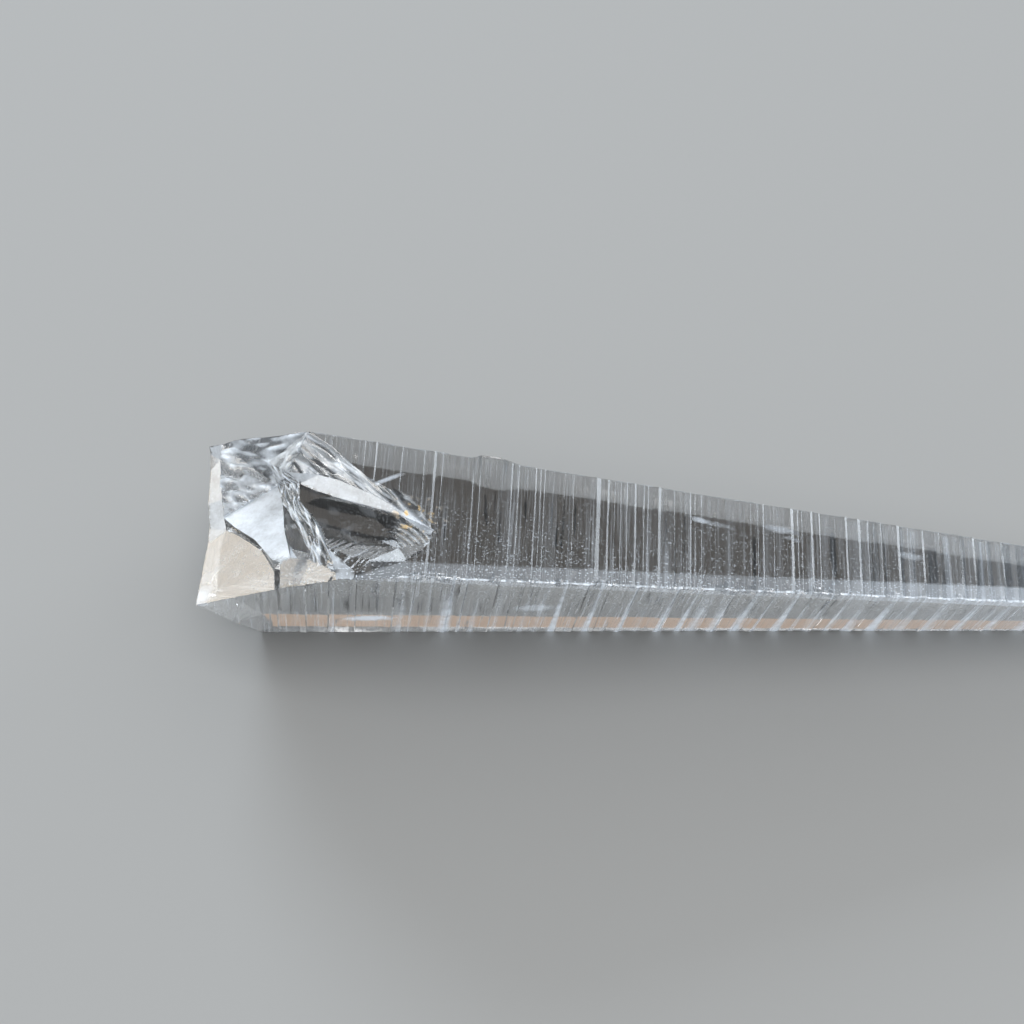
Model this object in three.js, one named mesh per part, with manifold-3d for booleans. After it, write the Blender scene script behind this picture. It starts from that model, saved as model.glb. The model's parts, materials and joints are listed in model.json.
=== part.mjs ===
// A lemurian quartz crystal: one clear, tapering, six-sided prism, lying on a prism face.
//
// Millimetres, +Z up. The crystal's long axis (its c axis) lies along X with the pointed end at +X,
// and the origin is on the resting surface under the middle of its box.
//
// The six prism faces stand 60 degrees apart around X. The section leans: the top face runs out to
// a sharp front edge, and the front face falls away under it. Every prism face but the resting one
// steps inwards towards the point in the fine cross ledges that lemurian crystals are known for.
// The thick end is broken, with flat break faces, a groove, a stepped wall and a shallow scoop.

import * as THREE from 'three';
import { mergeVertices } from 'three/addons/utils/BufferGeometryUtils.js';
import Module from 'manifold-3d';

const wasm = await Module();
wasm.setup();

// ---- Driving dimensions ----------------------------------------------------------------------

const BLANK_START = -62; // the stepped prism runs past both ends, which are then cut away
const BLANK_END = 58;
const POINT = new THREE.Vector3(54.7, 9.6, 4.3); // where the end faces meet
const MINOR_FACE_SETBACK = 0.9; // the three smaller end faces miss the point by this much
const AXIS_TO_END_FACE_NORMAL = THREE.MathUtils.degToRad(51.8); // quartz's rhombohedral faces
const FRONT_EDGE_WIDTH = [0.14, 0.5]; // narrow, uneven face along the sharp front edge

// Each prism face: the angle of its outward normal around X, from +Y towards +Z, its distance from
// the X axis at the middle of the length, and how much nearer it comes for each millimetre along X.
// gap is the usual distance between its ledges, and wander how far a terrace strays from the mean.
// main lists the places of its strongest ledges, and raised a stretch that stands proud: from, to, by.
const PRISM_FACES = {
  top: {
    angle: 90, distance: 17.25, fall: 0.163, gap: 1.5, wander: 0.03,
    main: [-31.4, -27.6, -23.6, -21.4, -15.7, -12.6, -9.2, -6.3, -0.2, 3.9, 6.8, 10.8, 15.4, 19, 22.3],
  },
  front: {
    angle: 210, distance: -3.19, fall: 0.111, gap: 1.7, wander: 0.03,
    main: [-41.5, -29.6, -25.2, -16.4, -11.5, -7.4, -1.6, 2.5, 8.8, 13.1, 20.6, 27.2],
  },
  bottom: { angle: 270, distance: 0, fall: 0, gap: 0, wander: 0, main: [] },
  lowerBack: {
    angle: 330, distance: 10.05, fall: 0.004, gap: 4.5, wander: 0.12,
    main: [-34, -12.5, 9.5, 30],
  },
  upperBack: {
    angle: 30, distance: 13.72, fall: 0.018, gap: 3.6, wander: 0.1,
    main: [-28.4, -23.8, -10, 7.3, 24.5], raised: [-28.4, -23.8, 0.4],
  },
};
const FIRST_LEDGE = -58;
const LAST_LEDGE = 50;
const CLEAR_BEFORE_MAIN = 1.7; // a strong ledge ends a stretch without finer ones
const SMALLEST_LEDGE = 0.03;
const LEDGE_SLOPE = Math.tan(THREE.MathUtils.degToRad(38.2)); // a ledge's own little face

// Corners of the break, from the nose at the far left to the top face.
const BREAK = {
  // the nose: the break's leftmost ridge, from the front face to the upper back face
  nose1: [-54.4, -10.1, 11.8],
  nose2: [-54.1, -4.2, 12],
  nose3: [-54.4, 2.6, 13.5],
  nose4: [-54.6, 8.5, 14.7],
  // the lip: a narrow strip behind the nose
  lip1: [-52.3, -1.4, 13.5],
  lip2: [-53.1, 1.5, 14.8],
  lip3: [-53.8, 6.4, 15.5],
  // the ramp: the big flat face at the front, up to the groove
  ramp1: [-50.8, -3.1, 14.7],
  ramp2: [-48.4, -6.6, 16.7],
  ramp3: [-46.7, -10.1, 18],
  ramp4: [-45.8, -13, 18.7],
  // the bottom of the groove
  groove1: [-52.2, -0.8, 13.5],
  groove2: [-50.7, -2.5, 14.4],
  groove3: [-48.4, -5.8, 16.1],
  groove4: [-46.6, -9.5, 17.7],
  // the slab: the flat face between the groove and the wall
  slab1: [-52.7, -0.3, 14.2],
  slab2: [-50.3, 1.2, 15.1],
  slab3: [-47.7, 3, 16.1],
  slab4: [-46.9, -0.4, 17],
  slab5: [-46.4, -4.5, 17.8],
  slab6: [-47.2, -8.9, 18.1],
  slab7: [-49.2, -5.1, 16.6],
  slab8: [-51.4, -2.3, 15.1],
  // the hollow: the rough bowl between the slab and the upper back face
  hollow1: [-50.3, 5.2, 15.9],
  hollow2: [-48.7, 3.9, 18.3],
  back1: [-53.8, 7.2, 17.2],
  back2: [-51.8, 5.7, 19.8],
  back3: [-48.3, 4.3, 22.1],
  back4: [-44.8, 2.8, 24.4],
  // the shelf: a small flat face on the front edge
  shelf1: [-45.4, -9.5, 19.2],
  shelf2: [-43.5, -10.3, 20.1],
  shelf3: [-40.6, -12.9, 21.4],
  // where the break meets the front face
  front1: [-41.8, -13.6, 20.6],
  front2: [-39.9, -14.1, 22],
  front3: [-35.7, -14.1, 23.1],
  // the upper edge of the stepped wall, along the scoop's left end
  wall1: [-45.3, -1, 20.8],
  wall2: [-45.1, -3.3, 20.9],
  wall3: [-43.1, -6.8, 21.3],
  wall4: [-41.1, -10.8, 21.7],
  // the scoop's far side: its foot, then its upper edge
  foot1: [-43.9, -1.8, 21],
  foot2: [-40.9, -3, 21.3],
  foot3: [-38.1, -3.9, 21.6],
  foot4: [-35.3, -4.9, 21.9],
  foot5: [-32.3, -7.5, 22.2],
  crumple1: [-44.2, 0.3, 22.8],
  crumple2: [-41.2, -0.9, 22.9],
  bank1: [-46.6, -0.3, 21.6],
  bank2: [-43.6, -0.9, 22.2],
  bank3: [-41.5, -1.6, 22.5],
  bank4: [-38.1, -3.1, 22.5],
  bank5: [-36.1, -4.3, 22.4],
  bank6: [-32.2, -6.6, 22.2],
  // where the break meets the top face
  top1: [-41.7, 0.7, 24.1],
  top2: [-38.3, -1.9, 23.6],
  top3: [-34.4, -3.3, 22.9],
  top4: [-31.6, -7.2, 22.5],
  top5: [-31.5, -7.8, 22.5],
  top6: [-32.6, -9.6, 22.6],
  top7: [-34.1, -11.9, 22.9],
  // the scoop's near side
  near1: [-32.4, -8.8, 22.3],
  near2: [-35, -9.6, 22.1],
  near3: [-37.7, -11.4, 22],
  near4: [-39, -13.1, 22],
  scoop: [-39.6, -7, 21.6],
};

// The break's faces, each by its corners. A corner marked < is carried out past the front of the
// crystal, > past its back, and - past the nose, so that the face cuts all the way through.
const BREAK_FACES = [
  ['nose1<-', 'nose2-', 'lip1', 'ramp1', 'ramp2', 'ramp3', 'ramp4<'],
  ['nose2-', 'nose3-', 'lip2', 'lip1'],
  ['nose3-', 'nose4>-', 'back1>', 'back1', 'lip3', 'lip2'],
  ['lip1', 'ramp1', 'groove2', 'groove1'],
  ['ramp1', 'ramp2', 'groove3', 'groove2'],
  ['ramp2', 'ramp3', 'groove4', 'groove3'],
  ['groove1', 'groove2', 'slab8', 'slab1'],
  ['groove2', 'groove3', 'slab7', 'slab8'],
  ['groove3', 'groove4', 'slab6', 'slab7'],
  ['lip1', 'lip2', 'slab1', 'groove1'],
  ['slab1', 'slab2', 'slab3', 'slab4', 'slab5', 'slab6', 'slab7', 'slab8'],
  ['lip2', 'slab1', 'slab2'],
  ['lip2', 'slab2', 'hollow1'],
  ['lip2', 'lip3', 'hollow1'],
  ['lip3', 'back1', 'hollow1'],
  ['hollow1', 'back1', 'back2'],
  ['hollow1', 'back2', 'hollow2'],
  ['hollow2', 'back2', 'back3'],
  ['hollow2', 'back3', 'back4'],
  ['back1', 'back1>', 'back2>', 'back2'],
  ['back2', 'back2>', 'back3>', 'back3'],
  ['back3', 'back3>', 'back4>', 'back4'],
  ['hollow1', 'slab2', 'slab3'],
  ['hollow1', 'slab3', 'hollow2'],
  ['hollow2', 'back4', 'bank1'],
  ['back4', 'crumple1', 'bank1'],
  ['hollow2', 'bank1', 'slab3'],
  ['bank1', 'wall1', 'slab3'],
  ['wall1', 'wall2', 'slab4', 'slab3'],
  ['wall2', 'wall3', 'slab5', 'slab4'],
  ['wall3', 'wall4', 'shelf2', 'slab5'],
  ['slab5', 'slab6', 'shelf1'],
  ['slab5', 'shelf1', 'shelf2'],
  ['wall4', 'shelf3', 'shelf2'],
  ['ramp4<', 'ramp3', 'groove4', 'slab6', 'shelf1', 'shelf2', 'shelf3', 'front1<'],
  ['front1<', 'shelf3', 'front2<'],
  ['shelf3', 'near4', 'front2<'],
  ['back4', 'top1', 'crumple1'],
  ['crumple1', 'bank2', 'bank1'],
  ['crumple1', 'top1', 'crumple2', 'bank2'],
  ['crumple2', 'bank3', 'bank2'],
  ['crumple2', 'top1', 'top2', 'bank4'],
  ['crumple2', 'bank4', 'bank3'],
  ['top2', 'top3', 'bank5', 'bank4'],
  ['top3', 'top4', 'bank6', 'bank5'],
  ['bank1', 'bank2', 'foot1', 'wall1'],
  ['bank2', 'bank3', 'foot2', 'foot1'],
  ['bank3', 'bank4', 'foot3', 'foot2'],
  ['bank4', 'bank5', 'foot4', 'foot3'],
  ['bank5', 'bank6', 'foot5', 'foot4'],
  ['bank6', 'top4', 'top5', 'foot5'],
  ['near4', 'near3', 'front3<', 'front2<'],
  ['near3', 'near2', 'top7', 'front3<'],
  ['near2', 'near1', 'top6', 'top7'],
  ['near1', 'top5', 'top6'],
];
const SCOOP_RIM = [
  'wall1', 'foot1', 'foot2', 'foot3', 'foot4', 'foot5', 'top5',
  'near1', 'near2', 'near3', 'near4', 'shelf3', 'wall4', 'wall3', 'wall2',
];
// The big flat faces: three corners that set each one's plane, then the corners settled onto it.
const FLATS = [
  [['nose1', 'lip1', 'ramp4'], ['nose2', 'ramp1', 'ramp2', 'ramp3']],
  [['slab1', 'slab3', 'slab6'], ['slab2', 'slab4', 'slab5', 'slab7', 'slab8']],
  [['ramp4', 'shelf1', 'front1'], ['shelf2', 'shelf3']],
  [['top5', 'near4', 'wall1'], ['scoop', ...SCOOP_RIM]],
];
const AWAY = new THREE.Vector3(-0.55, -0.25, 0.8).normalize(); // the way the broken piece came off
const CUT_LENGTH = 60;
const PAST_FRONT = new THREE.Vector3(0, -7, -0.1);
const PAST_BACK = new THREE.Vector3(-0.6, 2.8, 1.9);
const PAST_NOSE = new THREE.Vector3(-4, 0, -3.1);

// The bowl sunk into the scoop's floor: its middle, half its length and half its width, how deep it
// goes, the height of the ellipsoid it is cut with, its turn in degrees, and how far the ellipsoid
// passes the floor so that the two cuts join.
const BOWL = {
  middle: [-38.6, -6.9], halfLength: 6.6, halfWidth: 3.7, depth: 1.1, height: 3, turn: -20, overlap: 0.03,
};

// Under the nose the break runs back down to the resting surface in two flats.
const UNDER_NOSE = [
  [[-54.4, -10.3, 12.1], [-54.6, 8.5, 14.7], [-51.2, -6, 5.3]],
  [[-51.2, -6, 5.3], [-48.2, -2.6, 0], [-49.4, 12, 0]],
];

// Chips broken out of the sharp front edge: place along X, and length along and across the edge.
const EDGE_CHIPS = [
  [-32.2, 1.7, 0.9], [-26.9, 0.6, 0.4], [-22.8, 0.8, 0.5], [-18.4, 0.5, 0.4], [-13.6, 0.9, 0.5],
  [-8.1, 0.6, 0.4], [-3.4, 0.8, 0.6], [1.7, 1.2, 0.7], [5.2, 0.9, 0.8], [8.4, 0.6, 0.5],
  [14.3, 0.9, 0.5], [20.2, 0.6, 0.4], [26.5, 1.1, 0.6], [33.7, 0.7, 0.5], [41.6, 0.9, 0.5],
];

// ---- Helpers ---------------------------------------------------------------------------------

// A closed three.js geometry as a solid.
function solid(geometry) {
  const shell = geometry.clone();
  shell.deleteAttribute('normal');
  shell.deleteAttribute('uv');
  const merged = mergeVertices(shell, 1e-5);
  return new wasm.Manifold(new wasm.Mesh({
    numProp: 3,
    vertProperties: new Float32Array(merged.attributes.position.array),
    triVerts: new Uint32Array(merged.index.array),
  }));
}

// A solid back as a three.js geometry.
function geometryOf(manifold) {
  const { vertProperties, triVerts } = manifold.getMesh();
  const geometry = new THREE.BufferGeometry();
  geometry.setAttribute('position', new THREE.BufferAttribute(vertProperties, 3));
  geometry.setIndex(new THREE.BufferAttribute(triVerts, 1));
  geometry.computeVertexNormals();
  return geometry;
}

// Repeatable random numbers from 0 to 1.
function randomFrom(seed) {
  let state = seed;
  return () => {
    state = (state + 0x6d2b79f5) | 0;
    let mixed = Math.imul(state ^ (state >>> 15), 1 | state);
    mixed = (mixed + Math.imul(mixed ^ (mixed >>> 7), 61 | mixed)) ^ mixed;
    return ((mixed ^ (mixed >>> 14)) >>> 0) / 4294967296;
  };
}

// Everything on the outer side of a plane, as far as the crystal reaches.
function beyond(plane) {
  const size = 200;
  const block = new THREE.BoxGeometry(size, size, size);
  block.translate(0, 0, size / 2);
  block.applyQuaternion(
    new THREE.Quaternion().setFromUnitVectors(new THREE.Vector3(0, 0, 1), plane.normal));
  const foot = plane.normal.clone().multiplyScalar(-plane.constant);
  block.translate(foot.x, foot.y, foot.z);
  return solid(block);
}

// ---- The stepped prism -----------------------------------------------------------------------

// A prism face's distance from the X axis with its ledges smoothed out.
function meanDistance(face, x) {
  const [from, to, by] = face.raised ?? [0, 0, 0];
  return face.distance - face.fall * x + (x >= from && x < to ? by : 0);
}

// Where a prism face's ledges are, and the face's distance from the X axis after each of them.
function ledgesOf(face, random) {
  if (face.gap === 0) return [];
  const places = [...face.main];
  for (let x = FIRST_LEDGE; x < LAST_LEDGE; x += face.gap * (0.35 + 1.3 * random())) {
    const clear = face.main.every(
      (main) => x < main - CLEAR_BEFORE_MAIN || x > main + CLEAR_BEFORE_MAIN / 3);
    if (clear) places.push(x);
  }
  places.sort((a, b) => a - b);

  const ledges = [];
  let level = meanDistance(face, FIRST_LEDGE);
  for (const x of places) {
    const next = meanDistance(face, x + face.gap / 2) + face.wander * (random() - 0.5) * 2;
    const run = Math.abs(level - next) / LEDGE_SLOPE;
    const previousEnd = ledges.length ? ledges.at(-1).end : BLANK_START;
    if (Math.abs(level - next) < SMALLEST_LEDGE || x - run < previousEnd) continue;
    ledges.push({ start: x - run, end: x, before: level, after: next });
    level = next;
  }
  return ledges;
}

// A face's distance from the X axis at one place.
function distanceAt(face, x) {
  let distance = meanDistance(face, FIRST_LEDGE);
  for (const ledge of face.ledges) {
    if (x >= ledge.end) {
      distance = ledge.after;
    } else if (x > ledge.start) {
      const share = (x - ledge.start) / (ledge.end - ledge.start);
      return THREE.MathUtils.lerp(ledge.before, ledge.after, share);
    }
  }
  return distance;
}

// The line where two neighbouring faces meet, seen along X as a point in Y and Z.
function corner(faceA, distanceA, faceB, distanceB) {
  const a = THREE.MathUtils.degToRad(faceA.angle);
  const b = THREE.MathUtils.degToRad(faceB.angle);
  const determinant = Math.sin(b - a);
  return new THREE.Vector2(
    (distanceA * Math.sin(b) - distanceB * Math.sin(a)) / determinant,
    (distanceB * Math.cos(a) - distanceA * Math.cos(b)) / determinant);
}

// The prism starts as a six-sided cylinder with a row of corners at each end of each ledge, and
// each corner then moves to where its two faces meet.
function steppedPrism() {
  const random = randomFrom(11);
  const { top, front, bottom, lowerBack, upperBack } = PRISM_FACES;
  for (const face of Object.values(PRISM_FACES)) face.ledges = ledgesOf(face, random);
  const frontEdge = { angle: 150 };
  const around = [upperBack, top, frontEdge, front, bottom, lowerBack];

  const stations = [BLANK_START, BLANK_END];
  for (const face of Object.values(PRISM_FACES)) {
    for (const ledge of face.ledges) stations.push(ledge.start, ledge.end);
  }
  stations.sort((a, b) => a - b);
  const rows = stations.filter((x, i) => i === 0 || x - stations[i - 1] > 0.004);

  const sections = rows.map((x) => {
    const distances = new Map(Object.values(PRISM_FACES).map((f) => [f, distanceAt(f, x)]));
    const width = THREE.MathUtils.lerp(...FRONT_EDGE_WIDTH, random() ** 3);
    const sharpEdge = distances.get(top) + distances.get(front);
    distances.set(frontEdge, sharpEdge - width * Math.sin(Math.PI / 3));
    return around.map((face, i) => {
      const next = around[(i + 1) % around.length];
      return corner(face, distances.get(face), next, distances.get(next));
    });
  });

  const geometry = new THREE.CylinderGeometry(1, 1, rows.length - 1, 6, rows.length - 1);
  const position = geometry.attributes.position;
  const vertex = new THREE.Vector3();
  for (let i = 0; i < position.count; i++) {
    vertex.fromBufferAttribute(position, i);
    const row = Math.round(vertex.y + (rows.length - 1) / 2);
    const section = sections[row];
    let place = new THREE.Vector2();
    if (Math.hypot(vertex.x, vertex.z) > 0.5) {
      const turn = Math.round(Math.atan2(vertex.x, vertex.z) / (Math.PI / 3));
      place = section[(turn + 6) % 6];
    } else {
      for (const point of section) place.addScaledVector(point, 1 / section.length);
    }
    position.setXYZ(i, rows[row], place.x, place.y);
  }
  return solid(geometry);
}

// ---- The pointed end -------------------------------------------------------------------------

// Three larger and three smaller faces, each leaning over its own prism face.
function endFaces() {
  return [30, 90, 150, 210, 270, 330].map((angle) => {
    const around = THREE.MathUtils.degToRad(angle);
    const outwards = Math.sin(AXIS_TO_END_FACE_NORMAL);
    const normal = new THREE.Vector3(
      Math.cos(AXIS_TO_END_FACE_NORMAL), outwards * Math.cos(around), outwards * Math.sin(around));
    const isMinor = angle === 30 || angle === 150 || angle === 270;
    const setback = isMinor ? MINOR_FACE_SETBACK : 0;
    const through = POINT.clone().addScaledVector(normal, setback);
    return beyond(new THREE.Plane().setFromNormalAndCoplanarPoint(normal, through));
  });
}

// ---- The broken end --------------------------------------------------------------------------

const breakCorners = new Map(
  Object.entries(BREAK).map(([name, place]) => [name, new THREE.Vector3(...place)]));

// Settles the corners of the big flat faces onto their planes, along the way the piece came off.
function settleFlats() {
  for (const [plane, settled] of FLATS) {
    const flat = new THREE.Plane().setFromCoplanarPoints(...plane.map((n) => breakCorners.get(n)));
    const slope = flat.normal.dot(AWAY);
    for (const name of settled) {
      const point = breakCorners.get(name);
      point.addScaledVector(AWAY, -flat.distanceToPoint(point) / slope);
    }
  }
}

// One corner of the break, carried out past the crystal where its name is marked.
function breakCorner(name) {
  const point = breakCorners.get(name.replace(/[<>-]/g, '')).clone();
  if (name.includes('<')) point.add(PAST_FRONT);
  if (name.includes('>')) point.add(PAST_BACK);
  if (name.includes('-')) point.add(PAST_NOSE);
  return point;
}

// The piece that broke off: the sheet of break faces, the same sheet carried far out along AWAY,
// and walls between their rims.
function brokenOff() {
  const scoopFan = SCOOP_RIM.map(
    (name, i) => ['scoop', name, SCOOP_RIM[(i + 1) % SCOOP_RIM.length]]);
  const faces = [...BREAK_FACES, ...scoopFan];
  const names = [...new Set(faces.flat())];
  const near = names.map(breakCorner);
  const far = near.map((point) => point.clone().addScaledVector(AWAY, CUT_LENGTH));

  const across = new THREE.Vector3(0, 0, 1).cross(AWAY).normalize();
  const along = AWAY.clone().cross(across);
  const triangles = [];
  const edges = new Set();
  for (const face of faces) {
    const corners = face.map((name) => names.indexOf(name));
    const outline = corners.map((i) => new THREE.Vector2(near[i].dot(across), near[i].dot(along)));
    for (const triangle of THREE.ShapeUtils.triangulateShape(outline, [])) {
      const [r, q, p] = triangle.map((i) => corners[i]); // turned to face down into the crystal
      triangles.push([p, q, r], [r + names.length, q + names.length, p + names.length]);
      for (const [from, to] of [[p, q], [q, r], [r, p]]) edges.add(`${from} ${to}`);
    }
  }
  for (const edge of edges) {
    const [from, to] = edge.split(' ').map(Number);
    if (edges.has(`${to} ${from}`)) continue;
    const [farFrom, farTo] = [from + names.length, to + names.length];
    triangles.push([to, from, farFrom], [to, farFrom, farTo]);
  }

  const geometry = new THREE.BufferGeometry().setFromPoints([...near, ...far]);
  geometry.setIndex(triangles.flat());
  return solid(geometry);
}

// The bowl sunk into the scoop's flat floor.
function scoopBowl() {
  const floor = new THREE.Plane().setFromCoplanarPoints(
    ...['near4', 'top5', 'wall1'].map((name) => breakCorners.get(name)));
  if (floor.normal.z < 0) floor.negate();
  const bowl = new THREE.SphereGeometry(1, 40, 28);
  bowl.rotateX(Math.PI / 2);
  const rim = Math.sqrt(1 - (1 - BOWL.depth / BOWL.height) ** 2); // its share of the full width
  bowl.scale(BOWL.halfLength / rim, BOWL.halfWidth / rim, BOWL.height);
  bowl.rotateZ(THREE.MathUtils.degToRad(BOWL.turn));
  bowl.applyQuaternion(
    new THREE.Quaternion().setFromUnitVectors(new THREE.Vector3(0, 0, 1), floor.normal));
  const [x, y] = BOWL.middle;
  const z = -(floor.normal.x * x + floor.normal.y * y + floor.constant) / floor.normal.z;
  const middle = new THREE.Vector3(x, y, z)
    .addScaledVector(floor.normal, BOWL.height - BOWL.depth);
  bowl.translate(middle.x, middle.y, middle.z);
  floor.translate(floor.normal.clone().multiplyScalar(BOWL.overlap));
  return solid(bowl).subtract(beyond(floor));
}

// Everything below the nose that the two flats cut away.
function underNose() {
  const middle = new THREE.Vector3(0, 4, 8);
  return UNDER_NOSE.map((points) => {
    const corners = points.map((point) => new THREE.Vector3(...point));
    const plane = new THREE.Plane().setFromCoplanarPoints(...corners);
    if (plane.distanceToPoint(middle) > 0) plane.negate();
    return beyond(plane);
  });
}

// Chips out of the sharp front edge, where the top and front faces meet.
function edgeChips() {
  const random = randomFrom(5);
  const { top, front } = PRISM_FACES;
  return EDGE_CHIPS.map(([x, along, across]) => {
    const edge = corner(top, distanceAt(top, x), front, distanceAt(front, x));
    const chip = new THREE.IcosahedronGeometry(1, 0);
    chip.rotateX(random() * Math.PI);
    chip.rotateZ(random() * Math.PI);
    chip.scale(along, across, across);
    chip.translate(x, edge.x - across * 0.25, edge.y - across * 0.1);
    return solid(chip);
  });
}

// ---- The whole crystal -----------------------------------------------------------------------

function crystal() {
  const prism = steppedPrism();
  settleFlats();
  const removed = [
    ...endFaces(),
    brokenOff(),
    scoopBowl(),
    ...underNose(),
    ...edgeChips(),
  ];
  const shape = removed.reduce((rest, piece) => rest.subtract(piece), prism);
  const material = new THREE.MeshStandardMaterial({
    name: 'quartz', color: 0xe4e9ea, roughness: 0.04, metalness: 0,
  });
  const mesh = new THREE.Mesh(geometryOf(shape), material);
  mesh.name = 'crystal';
  return mesh;
}

const part = new THREE.Group();
part.add(crystal());

export default part;
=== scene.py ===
"""A lemurian quartz crystal on a studio floor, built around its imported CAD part.

Run as a script, it makes one piece, quartz_crystal, which stands for the CAD crystal, and the stage.
Tables and working meshes are in millimetres; a piece is brought to metres when it is finished.
"""

import json
import math
import random
from bisect import bisect_right

import bmesh
import bpy
from bpy.props import FloatProperty, FloatVectorProperty, IntProperty, PointerProperty
from mathutils import Matrix, Vector, noise

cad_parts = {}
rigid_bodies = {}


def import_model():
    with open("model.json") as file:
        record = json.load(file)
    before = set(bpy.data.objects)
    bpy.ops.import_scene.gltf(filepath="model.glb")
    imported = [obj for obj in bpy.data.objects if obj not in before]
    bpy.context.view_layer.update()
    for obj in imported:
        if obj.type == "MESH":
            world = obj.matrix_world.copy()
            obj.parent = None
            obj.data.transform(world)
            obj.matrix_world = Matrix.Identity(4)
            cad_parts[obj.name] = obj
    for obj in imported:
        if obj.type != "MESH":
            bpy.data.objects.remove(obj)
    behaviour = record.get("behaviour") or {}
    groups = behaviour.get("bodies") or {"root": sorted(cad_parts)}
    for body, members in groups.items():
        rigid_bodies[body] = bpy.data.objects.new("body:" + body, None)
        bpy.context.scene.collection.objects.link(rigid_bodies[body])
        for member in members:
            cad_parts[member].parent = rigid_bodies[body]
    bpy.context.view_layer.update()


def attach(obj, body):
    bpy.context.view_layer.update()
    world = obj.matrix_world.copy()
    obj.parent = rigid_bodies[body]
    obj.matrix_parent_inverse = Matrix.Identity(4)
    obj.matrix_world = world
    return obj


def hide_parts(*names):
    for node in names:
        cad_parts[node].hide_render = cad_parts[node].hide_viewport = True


bl_info = {
    "name": "Lemurian Quartz Crystal",
    "version": (1, 0, 0),
    "blender": (4, 5, 0),
    "location": "3D View > Sidebar > Quartz",
    "description": "Adds a clear lemurian quartz crystal with a broken base, and its studio stage",
    "category": "Add Mesh",
}

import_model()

MM = 0.001  # one millimetre, in metres

# ---- The prism's faces -----------------------------------------------------------------------

PRISM_START, PRISM_END = -62.0, 58.0  # before the break and the end faces cut it
TURN_BETWEEN_FACES = math.radians(60)


class PrismFace:
    """A prism face: its normal's angle around X from +Y, and its distance from X, which falls with x.

    gap is the usual step between fine ledges, wander how far a terrace strays, and tilt the share
    of the fall that the terraces take. strong lists (place, clear): the terrace before a strong ledge
    is level for the clear length, and the ledge makes good what the face fell over it. quiet lists
    stretches with no fine ledges. across lists the places of the face's long mesh lines, from its
    first edge at 0 to the next at 1.
    """

    def __init__(self, angle, distance, fall, gap, wander, tilt, across, strong=(), quiet=()):
        self.angle = math.radians(angle)
        self.normal = Vector((0, math.cos(self.angle), math.sin(self.angle)))
        self.distance, self.fall = distance, fall
        self.gap, self.wander, self.tilt = gap, wander, tilt
        self.across, self.strong, self.quiet = across, strong, quiet

    def mean(self, x):
        """The distance from X with the ledges smoothed out."""
        return self.distance - self.fall * x


UPPER_BACK = PrismFace(30, 13.72, 0.018, 2.2, 0.05, 0.3, (0, 0.3, 0.6, 0.8, 0.92))
TOP = PrismFace(
    90, 17.25, 0.163, 0.7, 0.005, 0.86,
    (0, 0.08, 0.2, 0.36, 0.52, 0.66, 0.78, 0.87, 0.93, 0.965, 0.985),
    strong=[
        (-38.2, 0.5), (-35.6, 0.34), (-33.35, 0.25), (-32.4, 1), (-31.55, 0.34), (-28.44, 0.34),
        (-27.73, 0.3), (-24.6, 0.42), (-23.89, 0.34), (-22.17, 0.5), (-21.66, 0.28), (-21.25, 0.34),
        (-18.3, 0.22), (-15.95, 1.5), (-14.82, 0.9), (-14.1, 0.28), (-13.49, 0.28), (-12.87, 0.42),
        (-12.05, 0.8), (-11.12, 0.34), (-10.71, 0.3), (-9.62, 1.2), (-9.26, 0.25), (-7.97, 0.2),
        (-6.36, 0.5), (-5.85, 0.22), (-5.22, 0.22), (-0.12, 0.22), (0.62, 0.22), (1.19, 0.42), (2.29, 0.22),
        (4.08, 1.2), (4.82, 0.34), (5.24, 0.28), (6.19, 0.9), (7.08, 0.42), (9.83, 0.8), (11.16, 1.2),
        (12.22, 0.34), (13.6, 0.28), (15.31, 1.2), (16.48, 0.34), (17.98, 0.8), (19.81, 0.28), (21.96, 1.2),
        (23.46, 0.8), (24.87, 0.34), (26.49, 1), (28.01, 0.42), (31.2, 0.9), (33.4, 0.42), (37.0, 1),
        (39.1, 0.34), (42.4, 0.9), (45.2, 0.42), (47.9, 0.8),
    ],
    quiet=[(-30.4, -28.2), (-4.9, -0.7), (11.3, 12.8)],
)
FRONT_EDGE = PrismFace(150, 0, 0, 0, 0, 0, (0, 0.5))
FRONT = PrismFace(
    210, -3.19, 0.111, 0.9, 0.004, 0.86,
    (0, 0.012, 0.03, 0.06, 0.11, 0.2, 0.34, 0.5, 0.68, 0.85),
    strong=[
        (-50.4, 0.6), (-46.5, 0.5), (-43.7, 0.6), (-41.5, 0.8), (-38.8, 0.5), (-35.1, 0.8), (-29.6, 0.9),
        (-28.2, 0.5), (-25.2, 0.7), (-22.6, 0.4), (-16.4, 0.9), (-14.2, 0.5), (-11.5, 0.9), (-7.4, 1.0),
        (-4.8, 0.5), (-1.6, 0.9), (0.4, 0.5), (2.5, 0.8), (5.1, 0.6), (8.8, 1.0), (10.7, 0.5), (13.1, 0.9),
        (16.9, 0.6), (20.6, 0.9), (24.0, 0.6), (27.2, 0.9), (31.5, 0.6), (36.8, 0.8), (43.0, 0.7),
    ],
)
BOTTOM = PrismFace(270, 0, 0, 0, 0, 0, (0, 0.5))
LOWER_BACK = PrismFace(330, 10.05, 0.004, 3.2, 0.08, 0.3, (0, 0.35, 0.7))
AROUND = (UPPER_BACK, TOP, FRONT_EDGE, FRONT, BOTTOM, LOWER_BACK)

FINE_STEP = (0.3, 1.7)  # the step between two fine ledges, as a share of the face's gap
SHORTEST_TERRACE = 0.02
SMALLEST_LEDGE = 0.004  # how long a ledge's own little face is at least
CLOSEST_RINGS = 0.012  # the mesh rings around the prism stand further apart than this

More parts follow.
